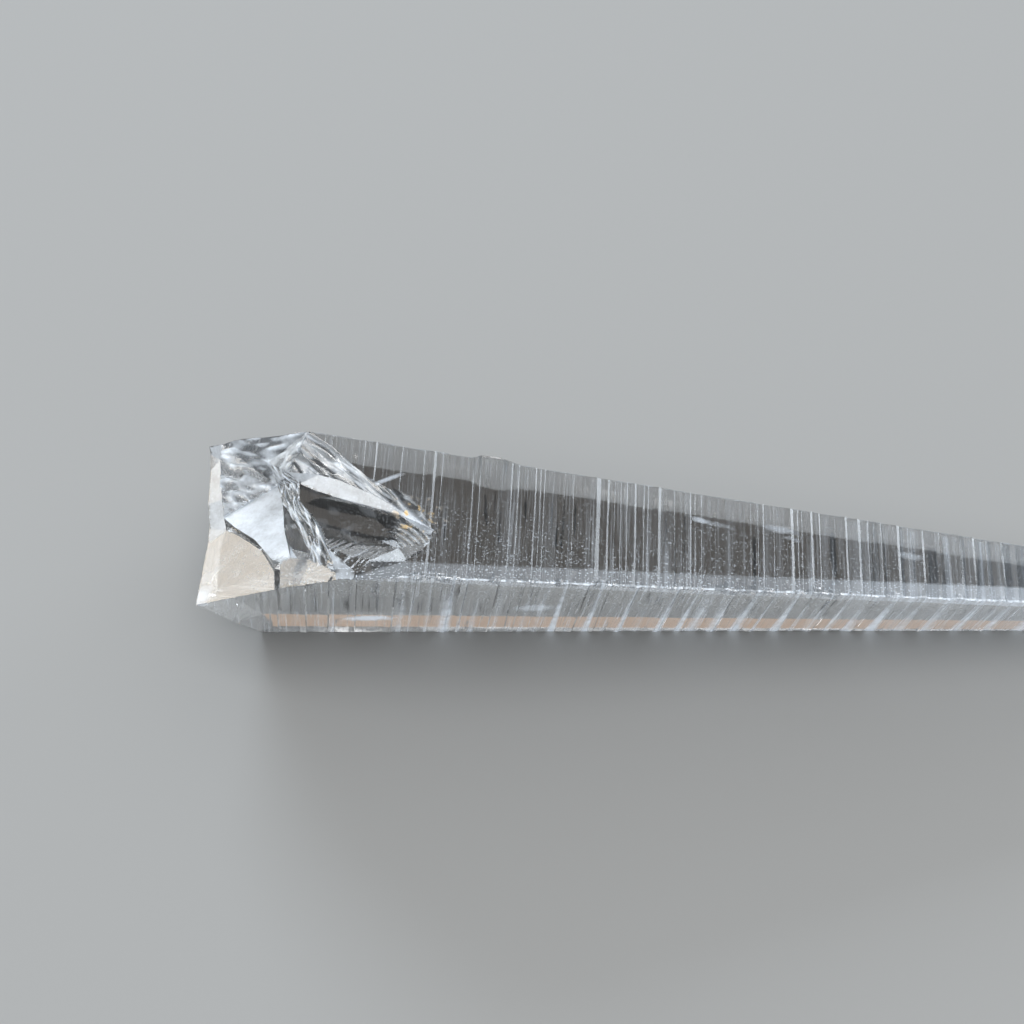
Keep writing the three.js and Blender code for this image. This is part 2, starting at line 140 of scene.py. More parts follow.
EDGE_WIDTH = (0.1, 0.42)  # the narrow face that runs along the sharp front edge
EDGE_WIDTH_FOLLOWS = 0.6  # how soon the edge's width follows its random target
INTO_EDGE = Vector((0, math.cos(math.radians(-30)), math.sin(math.radians(-30))))

# The two edges of the top face, each by its point at the middle of the length and its way along X.
FRONT_EDGE_LINE = (Vector((0, -6.279, 17.245)), Vector((1, 0.2223, -0.1629)))
BACK_EDGE_LINE = (Vector((0, 5.89, 17.245)), Vector((1, 0.0731, -0.1629)))
WORN_REACH = 1.6  # the front edge's wear reaches no further from it
FACE_REACH = 0.5  # what lies nearer than this to a face's mean is on that face

# Chips out of the front edge: place, half length along it, half width across it, depth.
EDGE_CHIPS = [
    (-33.2, 0.7, 0.5, 0.3), (-31.6, 1.6, 0.75, 0.42), (-29.4, 0.5, 0.4, 0.25), (-25.6, 0.6, 0.5, 0.3),
    (-22.4, 0.5, 0.3, 0.2), (-19.3, 0.4, 0.5, 0.25), (-15.2, 0.6, 0.6, 0.35), (-12.0, 0.4, 0.3, 0.2),
    (-8.3, 0.5, 0.4, 0.25), (-5.2, 0.5, 0.3, 0.2), (-2.6, 0.5, 0.9, 0.35), (-0.4, 0.4, 0.6, 0.25),
    (1.6, 0.7, 0.5, 0.3), (4.8, 0.5, 0.4, 0.25), (6.7, 1.1, 0.7, 0.4), (8.5, 0.6, 0.9, 0.35),
    (10.4, 0.4, 0.3, 0.2), (14.6, 0.8, 0.5, 0.3), (18.0, 0.5, 0.4, 0.25), (21.5, 0.7, 0.6, 0.3),
    (26.3, 0.6, 0.5, 0.3), (32.9, 0.9, 0.5, 0.3), (41.0, 0.6, 0.4, 0.25),
]

# The low swelling on the back edge: where it rises, levels, starts to fall and ends, and its height.
BACK_SWELLING = (-28.8, -27.4, -26.0, -23.4)
SWELLING_HEIGHT = 0.42
SWELLING_REACH = 3
OUT_OF_BACK_EDGE = Vector((0, math.cos(math.radians(60)), math.sin(math.radians(60))))

# ---- The broken end --------------------------------------------------------------------------

AWAY = Vector((-0.55, -0.25, 0.8)).normalized()  # the way the broken piece came off
CUT_LENGTH = 60.0
# How far a marked corner is carried out: past the front of the crystal, past its back or past the nose.
PAST = {"<": Vector((0, -7, -0.1)), ">": Vector((-0.6, 2.8, 1.9)), "-": Vector((-4, 0, -3.1))}

BREAK = {
    # the nose: the break's leftmost ridge, from the front face to the upper back face
    "nose1": (-54.4, -10.1, 11.8), "nose2": (-54.1, -4.2, 12), "nose3": (-54.4, 2.6, 13.5),
    "nose4": (-54.6, 8.5, 14.7),
    # the lip: a narrow strip behind the nose
    "lip1": (-52.3, -1.4, 13.5), "lip2": (-53.1, 1.5, 14.8), "lip3": (-53.8, 6.4, 15.5),
    # the ramp: the big flat face at the front, up to the groove
    "ramp1": (-50.8, -3.1, 14.7), "ramp2": (-48.4, -6.6, 16.7), "ramp3": (-46.95, -10.1, 17.9),
    "ramp4": (-45.8, -13, 18.7),
    # the bottom of the groove
    "groove1": (-52.2, -0.8, 13.5), "groove2": (-50.7, -2.5, 14.4), "groove3": (-48.4, -5.8, 16.1),
    "groove4": (-46.85, -9.6, 17.55), "groove5": (-45.78, -12.98, 18.6), "groove6": (-46.35, -9.7, 17.6),
    "groove7": (-45.6, -13, 18.63),
    # the slab: the flat face between the groove and the wall
    "slab1": (-52.7, -0.3, 14.2), "slab2": (-50.3, 1.2, 15.1), "slab3": (-47.7, 3, 16.1),
    "slab4": (-46.9, -0.4, 17), "slab5": (-46.4, -4.5, 17.8), "slab6": (-47.2, -8.9, 18.1),
    "slab7": (-49.2, -5.1, 16.6), "slab8": (-51.4, -2.3, 15.1),
    # the hollow: the rough bowl between the slab and the upper back face
    "hollow1": (-50.3, 5.2, 15.9), "hollow2": (-48.7, 3.9, 18.3), "back1": (-53.8, 7.2, 17.2),
    "back2": (-51.8, 5.7, 19.8), "back3": (-48.3, 4.3, 22.1), "back4": (-44.8, 2.8, 24.4),
    # the shelf: a small flat face on the front edge
    "shelf0": (-45.45, -13.1, 18.9), "shelf1": (-45.4, -9.5, 19.2), "shelf2": (-43.5, -10.3, 20.1),
    "shelf3": (-40.6, -12.9, 21.4), "shelf4": (-46.2, -9.6, 18.5),
    # where the break meets the front face
    "front1": (-41.8, -13.6, 20.6), "front2": (-39.9, -14.1, 22), "front3": (-35.7, -14.1, 23.1),
    # the upper edge of the stepped wall, along the scoop's left end
    "wall1": (-45.3, -1, 20.8), "wall2": (-45.1, -3.3, 20.9), "wall3": (-43.1, -6.8, 21.3),
    "wall4": (-41.7, -10.1, 21.6),
    # the dark crevice at the wall's foot
    "crevice1": (-46.3, -1.2, 17.1), "crevice2": (-45.1, -4.0, 17.6), "crevice3": (-43.4, -8.2, 18.5),
    # a splinter that leans from the shelf into the crevice
    "splinter1": (-45.55, -7.3, 18.2), "splinter2": (-44.7, -9.8, 19.5),
    # the scoop's far side: its foot, then its upper edge
    "foot1": (-43.9, -1.8, 21), "foot2": (-40.9, -3, 21.3), "foot3": (-38.1, -3.9, 21.6),
    "foot4": (-35.3, -4.9, 21.9), "foot5": (-32.3, -7.5, 22.2),
    "crumple1": (-44.2, 0.3, 22.8), "crumple2": (-41.2, -0.9, 22.9),
    "bank1": (-46.6, -0.3, 21.6), "bank2": (-43.6, -0.9, 22.2), "bank3": (-41.5, -1.6, 22.5),
    "bank4": (-38.1, -3.1, 22.5), "bank5": (-36.1, -4.3, 22.4), "bank6": (-32.2, -6.6, 22.2),
    # where the break meets the top face
    "top1": (-41.7, 0.7, 24.1), "top2": (-38.3, -1.9, 23.6), "top3": (-34.4, -3.3, 22.9),
    "top4": (-31.6, -7.2, 22.5), "top5": (-31.5, -7.8, 22.5), "top6": (-32.6, -9.6, 22.6),
    "top7": (-34.1, -11.9, 22.9),
    # the scoop's near side
    "near1": (-32.4, -8.8, 22.3), "near2": (-35, -9.6, 22.1), "near3": (-37.7, -11.4, 22),
    "near4": (-39, -13.1, 22), "scoop": (-39.6, -7, 21.6),
}

# The break's faces by the kind of surface, each by its corners, with the marks that PAST explains.
BREAK_FACES = {
    "ramp": [
        "nose1<- nose2- lip1 ramp1 ramp2 ramp3 ramp4<",
        "shelf0< shelf4 shelf1 splinter2 shelf2 shelf3 front1<", "slab6 shelf4 shelf1",
    ],
    "slab": [
        "slab1 slab2 slab3 slab4 slab5 slab6 slab7 slab8", "slab5 slab6 shelf1",
        "shelf1 splinter2 splinter1",
        "shelf3 near4 front2<", "wall4 shelf3 near4",
    ],
    "satin": [
        "nose2- nose3- lip2 lip1", "nose3- nose4>- back1> back1 lip3 lip2",
        "bank1 bank2 foot1 wall1", "bank2 bank3 foot2 foot1", "bank3 bank4 foot3 foot2",
        "bank4 bank5 foot4 foot3", "bank5 bank6 foot5 foot4", "bank6 top4 top5 foot5",
    ],
    "smooth": [
        "lip1 ramp1 groove2 groove1", "ramp1 ramp2 groove3 groove2", "ramp2 ramp3 groove4 groove3",
        "ramp3 ramp4< groove5< groove4", "groove4 groove5< groove7< groove6",
        "groove6 groove7< shelf0< shelf4", "slab6 groove4 groove6 shelf4",
        "groove1 groove2 slab8 slab1", "groove2 groove3 slab7 slab8", "groove3 groove4 slab6 slab7",
        "lip1 lip2 slab1 groove1", "slab5 shelf1 splinter1", "slab4 slab5 crevice2 crevice1",
        "slab5 splinter1 crevice3 crevice2", "splinter1 splinter2 shelf2 crevice3",
        "front1< shelf3 front2<", "near4 near3 front3< front2<", "near3 near2 top7 front3<",
        "near2 near1 top6 top7", "near1 top5 top6",
    ],
    "rippled": [
        "lip2 slab1 slab2", "lip2 slab2 hollow1", "lip2 lip3 hollow1", "lip3 back1 hollow1",
        "hollow1 back1 back2", "hollow1 back2 hollow2", "hollow2 back2 back3", "hollow2 back3 back4",
        "back1 back1> back2> back2", "back2 back2> back3> back3", "back3 back3> back4> back4",
        "hollow1 slab2 slab3", "hollow1 slab3 hollow2", "hollow2 back4 bank1", "hollow2 bank1 slab3",
    ],
    "hackled": [
        "bank1 wall1 slab3", "wall1 wall2 crevice1 slab4 slab3", "wall2 wall3 crevice2 crevice1",
        "wall3 wall4 shelf2 crevice3 crevice2", "wall4 shelf3 shelf2",
    ],
    "folded": [
        "back4 crumple1 bank1", "back4 top1 crumple1", "crumple1 bank2 bank1",
        "crumple1 top1 crumple2 bank2", "crumple2 bank3 bank2", "crumple2 top1 top2 bank4",
        "crumple2 bank4 bank3", "top2 top3 bank5 bank4", "top3 top4 bank6 bank5",
    ],
}
SCOOP_RIM = "wall1 foot1 foot2 foot3 foot4 foot5 top5 near1 near2 near3 near4 wall4 wall3 wall2 wall1".split()
BREAK_FACES["bowl"] = [f"scoop {here} {following}" for here, following in zip(SCOOP_RIM, SCOOP_RIM[1:])]
KINDS = ["grown", *BREAK_FACES]  # the prism's own faces are grown
# The longest mesh edge on each kind, as a share of the break mesh size.
BREAK_MESH = {
    "ramp": 1.6, "slab": 1.6, "satin": 1, "smooth": 1, "rippled": 0.7, "hackled": 0.4, "folded": 0.5,
    "bowl": 0.5}
HALVINGS = 7  # how often a long edge of the break may be halved
# The kinds that have no ripples or tears: the height of their slight waves, and their frost.
# the slab's frost is partly the fracture's own and partly a painted reflection of the window, which the
# hollow behind it hides
PLAIN = {"ramp": (0.015, 0.22), "slab": (0.015, 0.75), "satin": (0.015, 0.45), "smooth": (0.05, 0.03)}
# Only the stretch of the break that can meet the crystal gets a fine mesh: its lowest and highest corner.
FINE_REACH = (Vector((-56, -15.5, 10)), Vector((60, 10, 60)))

# The torn kinds: the way the ridges run, the length and width of the ridges and of the streaks on them,
# the height of both as shares of the relief's height, how far the whole is sunk, and the frost: how much
# there is everywhere, and for ridges and then streaks from which height it grows and by how much.
TORN = {
    "rippled": ((0.76, -0.36, 0.54), (7, 1.3), (2.2, 0.5), (1.7, 0.9), 0, 0.12, (0.25, 0.4), (0.05, 0.4)),
    "hackled": ((0.39, -0.92, 0.05), (5, 0.7), (1.6, 0.25), (1.3, 0.7), 0.6, 0.05, (0.5, 0.85), (0.1, 0.5)),
    "folded": ((0.79, -0.6, -0.1), (6, 1.1), (2, 0.35), (1.1, 0.5), 0.6, 0.06, (0.4, 0.34), (0.1, 0.26)),
}
RIDGE_TOP, STREAK_TOP = 0.95, 0.4  # where the frost on ridges and on streaks is full

# The big flat faces: three corners that set each one's plane, then the corners settled onto it.
FLATS = [
    ("nose1 lip1 ramp4", "nose2 ramp1 ramp2 ramp3"),
    ("slab1 slab3 slab6", "slab2 slab4 slab5 slab7 slab8"),
    ("ramp4 shelf1 front1", "shelf0 shelf2 shelf3 shelf4 splinter2"),
    ("top5 near4 wall1", "scoop wall2 wall3 wall4 foot1 foot2 foot3 foot4 foot5 near1 near2 near3 shelf3"),
]

# The bowl in the scoop's floor, seen along Z: middle, half length, half width, depth and turn.
BOWL_MIDDLE = Vector((-38.6, -6.9))
BOWL_SIZE = (6.9, 4.0)
BOWL_DEPTH = 1.1
BOWL_TURN = math.radians(-20)
RING_MIDDLE = Vector((-38.5, -11.5))  # the rings at the bowl's far end spread from here
RAYS_RUN = Vector((0.5, 0.87, 0)).normalized()  # the rays on its near side run this way

# Under the nose the break runs back down to the resting surface in two flats, each by three points.
UNDER_NOSE = [
    ((-54.4, -10.3, 12.1), (-54.6, 8.5, 14.7), (-51.2, -6, 5.3)),
    ((-51.2, -6, 5.3), (-48.2, -2.6, 0), (-49.4, 12, 0)),
]

# The six faces of the pointed end: the angle around X of each, and how far it misses the point.
END_FACES = [(30, 0.9), (90, 0), (150, 0.9), (210, 0), (270, 0.9), (330, 0)]
INSIDE = Vector((0, 5, 8))  # a point well inside the crystal
MOST_TRIANGLES = 200000  # a finished piece has fewer
CREASE = math.radians(22)  # an edge that turns more than this is sharp

# ---- Pale marks and painted highlights in the faces -------------------------------------------

# Streaks down the front face: place, half width at the foot, and strength.
STREAKS = [
    (-41.0, 0.2, 0.5), (-34.2, 0.22, 0.5), (-33.3, 0.15, 0.35), (-31.6, 0.25, 0.3), (-29.5, 0.45, 0.9),
    (-28.2, 0.2, 0.4), (-26.9, 0.25, 0.45), (-24.5, 0.3, 0.3), (-23.2, 0.25, 0.3), (-21.8, 0.3, 0.3),
    (-20.3, 0.25, 0.25), (-18.5, 0.4, 0.9), (-17.0, 0.18, 0.45), (-15.0, 0.4, 0.9), (-13.2, 0.15, 0.3),
    (-11.5, 0.38, 0.75), (-9.6, 0.15, 0.3), (-7.4, 0.45, 0.9), (-5.3, 0.35, 0.85), (-3.9, 0.3, 0.6),
    (-1.8, 0.5, 0.9), (0.7, 0.55, 0.9), (2.6, 0.3, 0.5), (4.9, 0.55, 0.85), (6.6, 0.3, 0.4),
    (8.4, 0.3, 0.4), (10.4, 0.35, 0.5), (12.6, 0.6, 0.8), (15.1, 0.6, 0.9), (18.2, 0.5, 0.5),
    (21.0, 0.6, 0.55), (24.2, 0.7, 0.5), (27.5, 0.6, 0.55), (31.0, 0.8, 0.5), (35.2, 0.8, 0.5),
    (39.5, 0.8, 0.45), (44.0, 0.8, 0.4),
]

# The feather, a thin pale crack in the top face beside the break: its middle, its way and half sizes.
FEATHER = (Vector((-36.8, -1.6, 23.24)), Vector((3.18, 2.63, -0.52)))
FEATHER_SIZE = (2.3, 2.1, 1.2)

# Painted highlights and reflections: soft pale spots in the faces, each by its middle, half sizes and
# strength.
PAINTED_HIGHLIGHTS = [
    ((-5.4, 1.9, 18.1), (1.1, 0.5, 0.8), 0.6), ((-3.8, 1.8, 17.9), (2.6, 0.4, 1.2), 0.25),
    ((3.0, 2.9, 16.8), (2.4, 0.6, 1.2), 0.45), ((4.3, 1.9, 16.6), (1.3, 0.35, 0.8), 0.3),
    ((16.6, 3.1, 14.6), (1.9, 0.6, 1.2), 0.35), ((-37.4, -4.65, 6.1), (3.1, 1.3, 1.7), 1.0),
    ((-20.9, -5.0, 10.4), (2.8, 1.6, 2.2), 0.4), ((-34.0, -5.7, 22.25), (2.4, 1.4, 0.5), 0.4),
    ((-53.9, -9.6, 12.3), (1.4, 1.8, 1.4), 0.45),
]
STAINED = Vector((-33.5, -5.5, 22.4))  # the middle of the iron stain
STAIN_REACH = (3.4, 1.5)  # how far from there it ends, and how far out it is full


# ---- Settings --------------------------------------------------------------------------------

class CrystalSizes(bpy.types.PropertyGroup):
    """The sizes of the crystal and of its surface relief."""

    point: FloatVectorProperty(
        name="Point", description="Where the end faces meet", default=(0.0547, 0.0096, 0.0043),
        subtype="TRANSLATION", unit="LENGTH")
    end_face_angle: FloatProperty(
        name="End face angle", description="Between the long axis and an end face's normal",
        default=math.radians(51.8), subtype="ANGLE")
    fine_ledges: FloatProperty(
        name="Fine ledges", description="How many fine ledges, as a share of the usual number",
        default=1.0, min=0.1, max=2.0, subtype="FACTOR")
    ledge_wander: FloatProperty(
        name="Ledge wander", description="How far a ledge strays from straight",
        default=0.00004, unit="LENGTH", precision=5)
    edge_wear: FloatProperty(
        name="Edge wear", description="Depth of the fine wear along the sharp front edge",
        default=0.00011, unit="LENGTH", precision=5)
    break_mesh: FloatProperty(
        name="Break mesh size", description="The longest mesh edge on the broken end",
        default=0.0005, unit="LENGTH", precision=5)
    tear_height: FloatProperty(
        name="Tear height", description="Height of the relief on the torn parts of the break",
        default=0.00034, unit="LENGTH", precision=5)
    ripple_height: FloatProperty(
        name="Ripple height", description="Height of the ripples on the break",
        default=0.00016, unit="LENGTH", precision=5)
    seed: IntProperty(name="Seed", description="Changes the fine ledges and the wear", default=7)


class QuartzLook(bpy.types.PropertyGroup):
    """How the quartz looks."""

    tint: FloatVectorProperty(
        name="Tint", description="Colour of light that passes the surface", subtype="COLOR",
        default=(0.985, 0.99, 1.0), min=0, max=1)
    frost: FloatVectorProperty(
        name="Frost", description="Colour of worn and torn quartz", subtype="COLOR",
        default=(0.77, 0.87, 1.0), min=0, max=1)
    frost_clearness: FloatProperty(
        name="Frost clearness", description="How much light worn and torn quartz lets through",
        default=0.5, min=0, max=1)
    stain: FloatVectorProperty(
        name="Stain", description="Colour of the specks of iron stain on the break", subtype="COLOR",
        default=(0.84, 0.63, 0.32), min=0, max=1)
    ior: FloatProperty(name="IOR", description="Index of refraction of quartz", default=1.544)
    roughness: FloatProperty(
        name="Roughness", description="Roughness of the clean faces", default=0.03, min=0, max=1)
    depth_colour: FloatVectorProperty(
        name="Depth colour", description="Colour that deep quartz takes", subtype="COLOR",
        default=(0.80, 0.78, 0.74), min=0, max=1)
    depth_density: FloatProperty(
        name="Depth density", description="How soon the depth colour shows", default=9.0, min=0)
    line_depth: FloatProperty(
        name="Line depth", description="Depth of the finest growth lines",
        default=0.000012, unit="LENGTH", precision=6)
    striation: FloatProperty(
        name="Striation", description="How pale the fine growth lines are", default=0.32, min=0, max=1)
    bands: FloatProperty(
        name="Bands", description="How pale the soft growth bands are", default=0.3, min=0, max=1)
    specks: FloatProperty(
        name="Specks", description="How pale the tiny pits are", default=0.7, min=0, max=1)
    veil: FloatProperty(
        name="Veil", description="How pale the band along the front edge is", default=0.26, min=0, max=1)


class StageLook(bpy.types.PropertyGroup):
    """The floor and the lights."""

    floor_colour: FloatVectorProperty(
        name="Floor colour", description="Colour of the plain floor", subtype="COLOR",
        default=(0.62, 0.62, 0.61), min=0, max=1)
    light: FloatProperty(name="Light", description="Strength of all the lights", default=1.0, min=0)
    surround: FloatProperty(
        name="Surround", description="Brightness of the plain surroundings", default=0.3, min=0)


# ---- Helpers ---------------------------------------------------------------------------------

def smooth_step(start, end, value):
    """0 before start, 1 after end, and a smooth change between."""
    share = min(max((value - start) / (end - start), 0.0), 1.0)
    return share * share * (3 - 2 * share)


def mesh_object(name, bm):
    """A new object from a bmesh, which is freed."""
    mesh = bpy.data.meshes.new(name)
    bm.to_mesh(mesh)
    bm.free()
    thing = bpy.data.objects.new(name, mesh)
    bpy.context.scene.collection.objects.link(thing)
    return thing


def cut_away(bm, point, normal):
    """Cuts off all that lies on the normal's side of a plane, and closes the cut."""
    bmesh.ops.bisect_plane(
        bm, geom=bm.verts[:] + bm.edges[:] + bm.faces[:], dist=1e-5,
        plane_co=point, plane_no=normal, clear_outer=True)
    open_edges = [edge for edge in bm.edges if edge.is_boundary]
    bmesh.ops.holes_fill(bm, edges=open_edges, sides=0)


def delete_crumbs(bm):
    """Deletes every loose crumb that a cut left, and keeps the largest part."""
    left, parts = set(bm.verts), []
    while left:
        part, edge_of_part = set(), {left.pop()}
        while edge_of_part:
            part |= edge_of_part
            edge_of_part = {edge.other_vert(vert) for vert in edge_of_part for edge in vert.link_edges} - part
        left -= part
        parts.append(part)
    largest = max(parts, key=len)
    bmesh.ops.delete(bm, geom=[vert for vert in bm.verts if vert not in largest], context="VERTS")


# ---- The stepped prism -----------------------------------------------------------------------

class Ledges:
    """One face's ledges as a line through knots: its distance from X at any place along X."""

    def __init__(self, face, slope, share, rng):
        self.places, self.levels = [PRISM_START], [face.mean(PRISM_START)]
        if not face.gap:
            self.places.append(PRISM_END)
            self.levels.append(face.mean(PRISM_END))
            return
        for place, clear in self.ledge_places(face, share, rng):
            here, level = self.places[-1], self.levels[-1]
            if place <= here:
                continue
            if clear:
                start = max(place - clear, here + SHORTEST_TERRACE)
                level -= face.fall * (start - here)
                self.places.append(start)
                self.levels.append(level)
            else:
                level -= face.tilt * face.fall * (place - here)
            below = face.mean(place + 0.3 * clear) + face.wander * rng.uniform(-1, 1)
            run = abs(level - below) / slope
            if run > SMALLEST_LEDGE:
                self.places += [place, place + run]
                self.levels += [level, below]

    @staticmethod
    def ledge_places(face, share, rng):
        """The places of strong and fine ledges in order, each with the clear length before it."""
        places = list(face.strong)
        x = PRISM_START + 0.5
        while x < PRISM_END - 1:
            near_strong = any(strong - clear < x < strong + 0.2 * clear for strong, clear in face.strong)
            if not near_strong and not any(start < x < end for start, end in face.quiet):
                places.append((x, 0))
            x += face.gap / share * rng.uniform(*FINE_STEP)
        return sorted(places)

    def at(self, x):
        """The face's distance from X at one place."""
        i = min(max(bisect_right(self.places, x), 1), len(self.places) - 1)
        x0, x1 = self.places[i - 1], self.places[i]
        share = (x - x0) / (x1 - x0)
        return self.levels[i - 1] * (1 - share) + self.levels[i] * share


def meeting(face_a, distance_a, face_b, distance_b):
    """Where two neighbouring faces meet, in the section across X."""
    turn = math.sin(face_b.angle - face_a.angle)
    return Vector((
        0,
        (distance_a * math.sin(face_b.angle) - distance_b * math.sin(face_a.angle)) / turn,
        (distance_b * math.cos(face_a.angle) - distance_a * math.cos(face_b.angle)) / turn))


def section(x, first, last, edge_width):
    """The ring of points around the prism at x.

    first and last give each face's ledge patterns at its two long edges. The one passes smoothly into
    the other across the face.
    """
    start = {face: first[face].at(x) for face in AROUND if face is not FRONT_EDGE}
    end = {face: last[face].at(x) for face in AROUND if face is not FRONT_EDGE}
    sharp_edge = end[TOP] + start[FRONT]
    start[FRONT_EDGE] = end[FRONT_EDGE] = sharp_edge - edge_width * math.sin(TURN_BETWEEN_FACES)
    points = []
    for i, face in enumerate(AROUND):
        before, after = AROUND[i - 1], AROUND[(i + 1) % len(AROUND)]
        corner = meeting(before, end[before], face, start[face])
        next_corner = meeting(face, end[face], after, start[after])
        along = Vector((0, -face.normal.z, face.normal.y))
        for share in face.across:
            distance = start[face] + (end[face] - start[face]) * smooth_step(0.15, 0.85, share)
            sideways = corner.dot(along) * (1 - share) + next_corner.dot(along) * share
            point = face.normal * distance + along * sideways
            points.append(Vector((x, point.y, point.z)))
    return points


def stepped_prism(sizes):
    """The whole prism as a bmesh: a grid wrapped around X, with a ring at every ledge."""
    rng = random.Random(sizes.seed)
    slope = math.tan(math.pi / 2 - sizes.end_face_angle)
    first = {face: Ledges(face, slope, sizes.fine_ledges, rng) for face in AROUND}
    last = {face: Ledges(face, slope, sizes.fine_ledges, rng) for face in AROUND}
    places = sorted({x for side in (first, last) for ledges in side.values() for x in ledges.places})
    stations = [PRISM_START]
    for x in places:
        if stations[-1] + CLOSEST_RINGS < x < PRISM_END:
            stations.append(x)
    stations.append(PRISM_END)

    rings = []
    narrowest, widest = EDGE_WIDTH
    edge_width = narrowest
    for x in stations:
        target = narrowest + (widest - narrowest) * rng.random() ** 3
        edge_width += (target - edge_width) * EDGE_WIDTH_FOLLOWS
        rings.append(section(x, first, last, edge_width))

    bm = bmesh.new()
    count = len(rings[0])
    bmesh.ops.create_grid(bm, x_segments=len(rings) - 1, y_segments=count, size=1)
    for vert in bm.verts:
        ring = round((vert.co.x + 1) / 2 * (len(rings) - 1))
        vert.co = rings[ring][round((vert.co.y + 1) / 2 * count) % count]
    bmesh.ops.remove_doubles(bm, verts=bm.verts, dist=1e-6)
    bmesh.ops.holes_fill(bm, edges=[edge for edge in bm.edges if edge.is_boundary], sides=0)
    bmesh.ops.recalc_face_normals(bm, faces=bm.faces)
    return bm


def off_line(place, line):
    """How far a place is from one of the top face's edges, in the section across X."""
    point, way = line
    return (place - point - way * place.x).length


def streak_frost(place):
    """The soft pale streaks down the front face, which widen and grow paler towards its foot."""
    point, way = FRONT_EDGE_LINE
    down = 1 - min(max(place.z / (point.z + way.z * place.x), 0.0), 1.0)
    streak = 0.0
    for x, half_width, strength in STREAKS:
        off = abs(place.x - x) / (half_width * (0.4 + 0.9 * down))
        streak = max(streak, strength * (0.3 + 0.7 * down) * (1 - smooth_step(0.3, 1.0, off)))
    return streak


def stretched(place, along, across):
    """Smooth noise with one scale along X and another across it."""
    return noise.noise((place.x * along, place.y * across, place.z * across))


def edge_wear(place, from_edge, crumble):
    """How deep the sharp front edge is worn or chipped at a place."""
    grain = stretched(place, 3.1, 2.0) + 0.7 * stretched(place, 7.9, 4.0)
    depth = crumble * max(0.0, grain + 0.25) * (1 - smooth_step(0.15, 0.7, from_edge))
    for middle, length, width, chip in EDGE_CHIPS:
        reach = ((place.x - middle) / length) ** 2 + (from_edge / width) ** 2
        if reach < 1:
            depth = max(depth, chip * math.sqrt(1 - reach) * (1 + 0.5 * grain))
    return depth


def swelling(place, from_back):
    """How far the low swelling on the back edge stands out at a place."""
    rise_start, rise_end, fall_start, fall_end = BACK_SWELLING
    height = SWELLING_HEIGHT * smooth_step(rise_start, rise_end, place.x)
    height *= 1 - smooth_step(fall_start, fall_end, place.x)
    return height * (1 - smooth_step(0.3, SWELLING_REACH, from_back))


def wear(bm, sizes):
    """Moves the prism's vertices as growth and wear did: ledges stray, and the edge crumbles."""
    wander, crumble = sizes.ledge_wander / MM, sizes.edge_wear / MM
    frost = bm.verts.layers.float.new("frost")
    for vert in bm.verts:
        place = vert.co.copy()
        if abs(FRONT.normal.dot(place) - FRONT.mean(place.x)) < FACE_REACH:
            vert[frost] = streak_frost(place)
        vert.co.x += wander * (stretched(place, 0.8, 0.16) + 0.5 * stretched(place, 2.1, 0.5))
        from_edge = off_line(place, FRONT_EDGE_LINE)
        if from_edge < WORN_REACH:
            vert.co += INTO_EDGE * edge_wear(place, from_edge, crumble)
        vert.co += OUT_OF_BACK_EDGE * swelling(place, off_line(place, BACK_EDGE_LINE))


# ---- The break -------------------------------------------------------------------------------

def break_corners():
    """The break's corners, with those of the big flat faces settled onto their planes."""
    corners = {name: Vector(place) for name, place in BREAK.items()}
    for plane, settled in FLATS:
        a, b, c = (corners[name] for name in plane.split())
        normal = (b - a).cross(c - a).normalized()
        for name in settled.split():
            corners[name] += AWAY * ((a - corners[name]).dot(normal) / AWAY.dot(normal))
    return corners


def bowl_depth(place):
    """How far the scoop's bowl lies below its rim at a place, and its share of the way out."""
    off = place.xy - BOWL_MIDDLE
    along = off.x * math.cos(BOWL_TURN) + off.y * math.sin(BOWL_TURN)
    across = off.y * math.cos(BOWL_TURN) - off.x * math.sin(BOWL_TURN)
    out = math.hypot(along / BOWL_SIZE[0], across / BOWL_SIZE[1])
    return BOWL_DEPTH * max(0.0, 1 - out ** 2.4), out


def drawn_out(place, way, length, width):
    """Smooth noise drawn out along a way: its blobs are about this long and this wide."""
    along = place.dot(way)
    return noise.noise((place - way * along) / width + way * (along / length))


def ridges(place, way, length, width):
    """Sharp ridges along a way, 1 at their crests."""
    return 1 - 2.2 * abs(drawn_out(place, way, length, width))


def bowl_relief(place, ripple):
    """The scoop's height and frosting: a bowl with rings at its far end and rays on its near side."""
    depth, out = bowl_depth(place)
    away = (place.xy - RING_MIDDLE).length
    rings = math.sin(away * 10 + 2.5 * noise.noise(place * 0.5))
    far_end = smooth_step(4.0, 5.0, away) * smooth_step(-37, -35.2, place.x)
    far_end *= smooth_step(-5.2, -6.6, place.y)
    rays = drawn_out(place, RAYS_RUN, 3.5, 0.3)
    near_side = smooth_step(0.35, 0.9, out) * smooth_step(-7.0, -8.6, place.y) * (1 - far_end)
    dust = 0.1 * smooth_step(0.1, 0.5, noise.noise(place * 0.55))
    frost = dust + 0.35 * smooth_step(0.15, 0.45, rays) * near_side
    frost += 0.5 * far_end * smooth_step(0.2, 0.9, rings)
    return -depth + ripple * (0.7 * rings * far_end + 0.8 * rays * near_side), frost


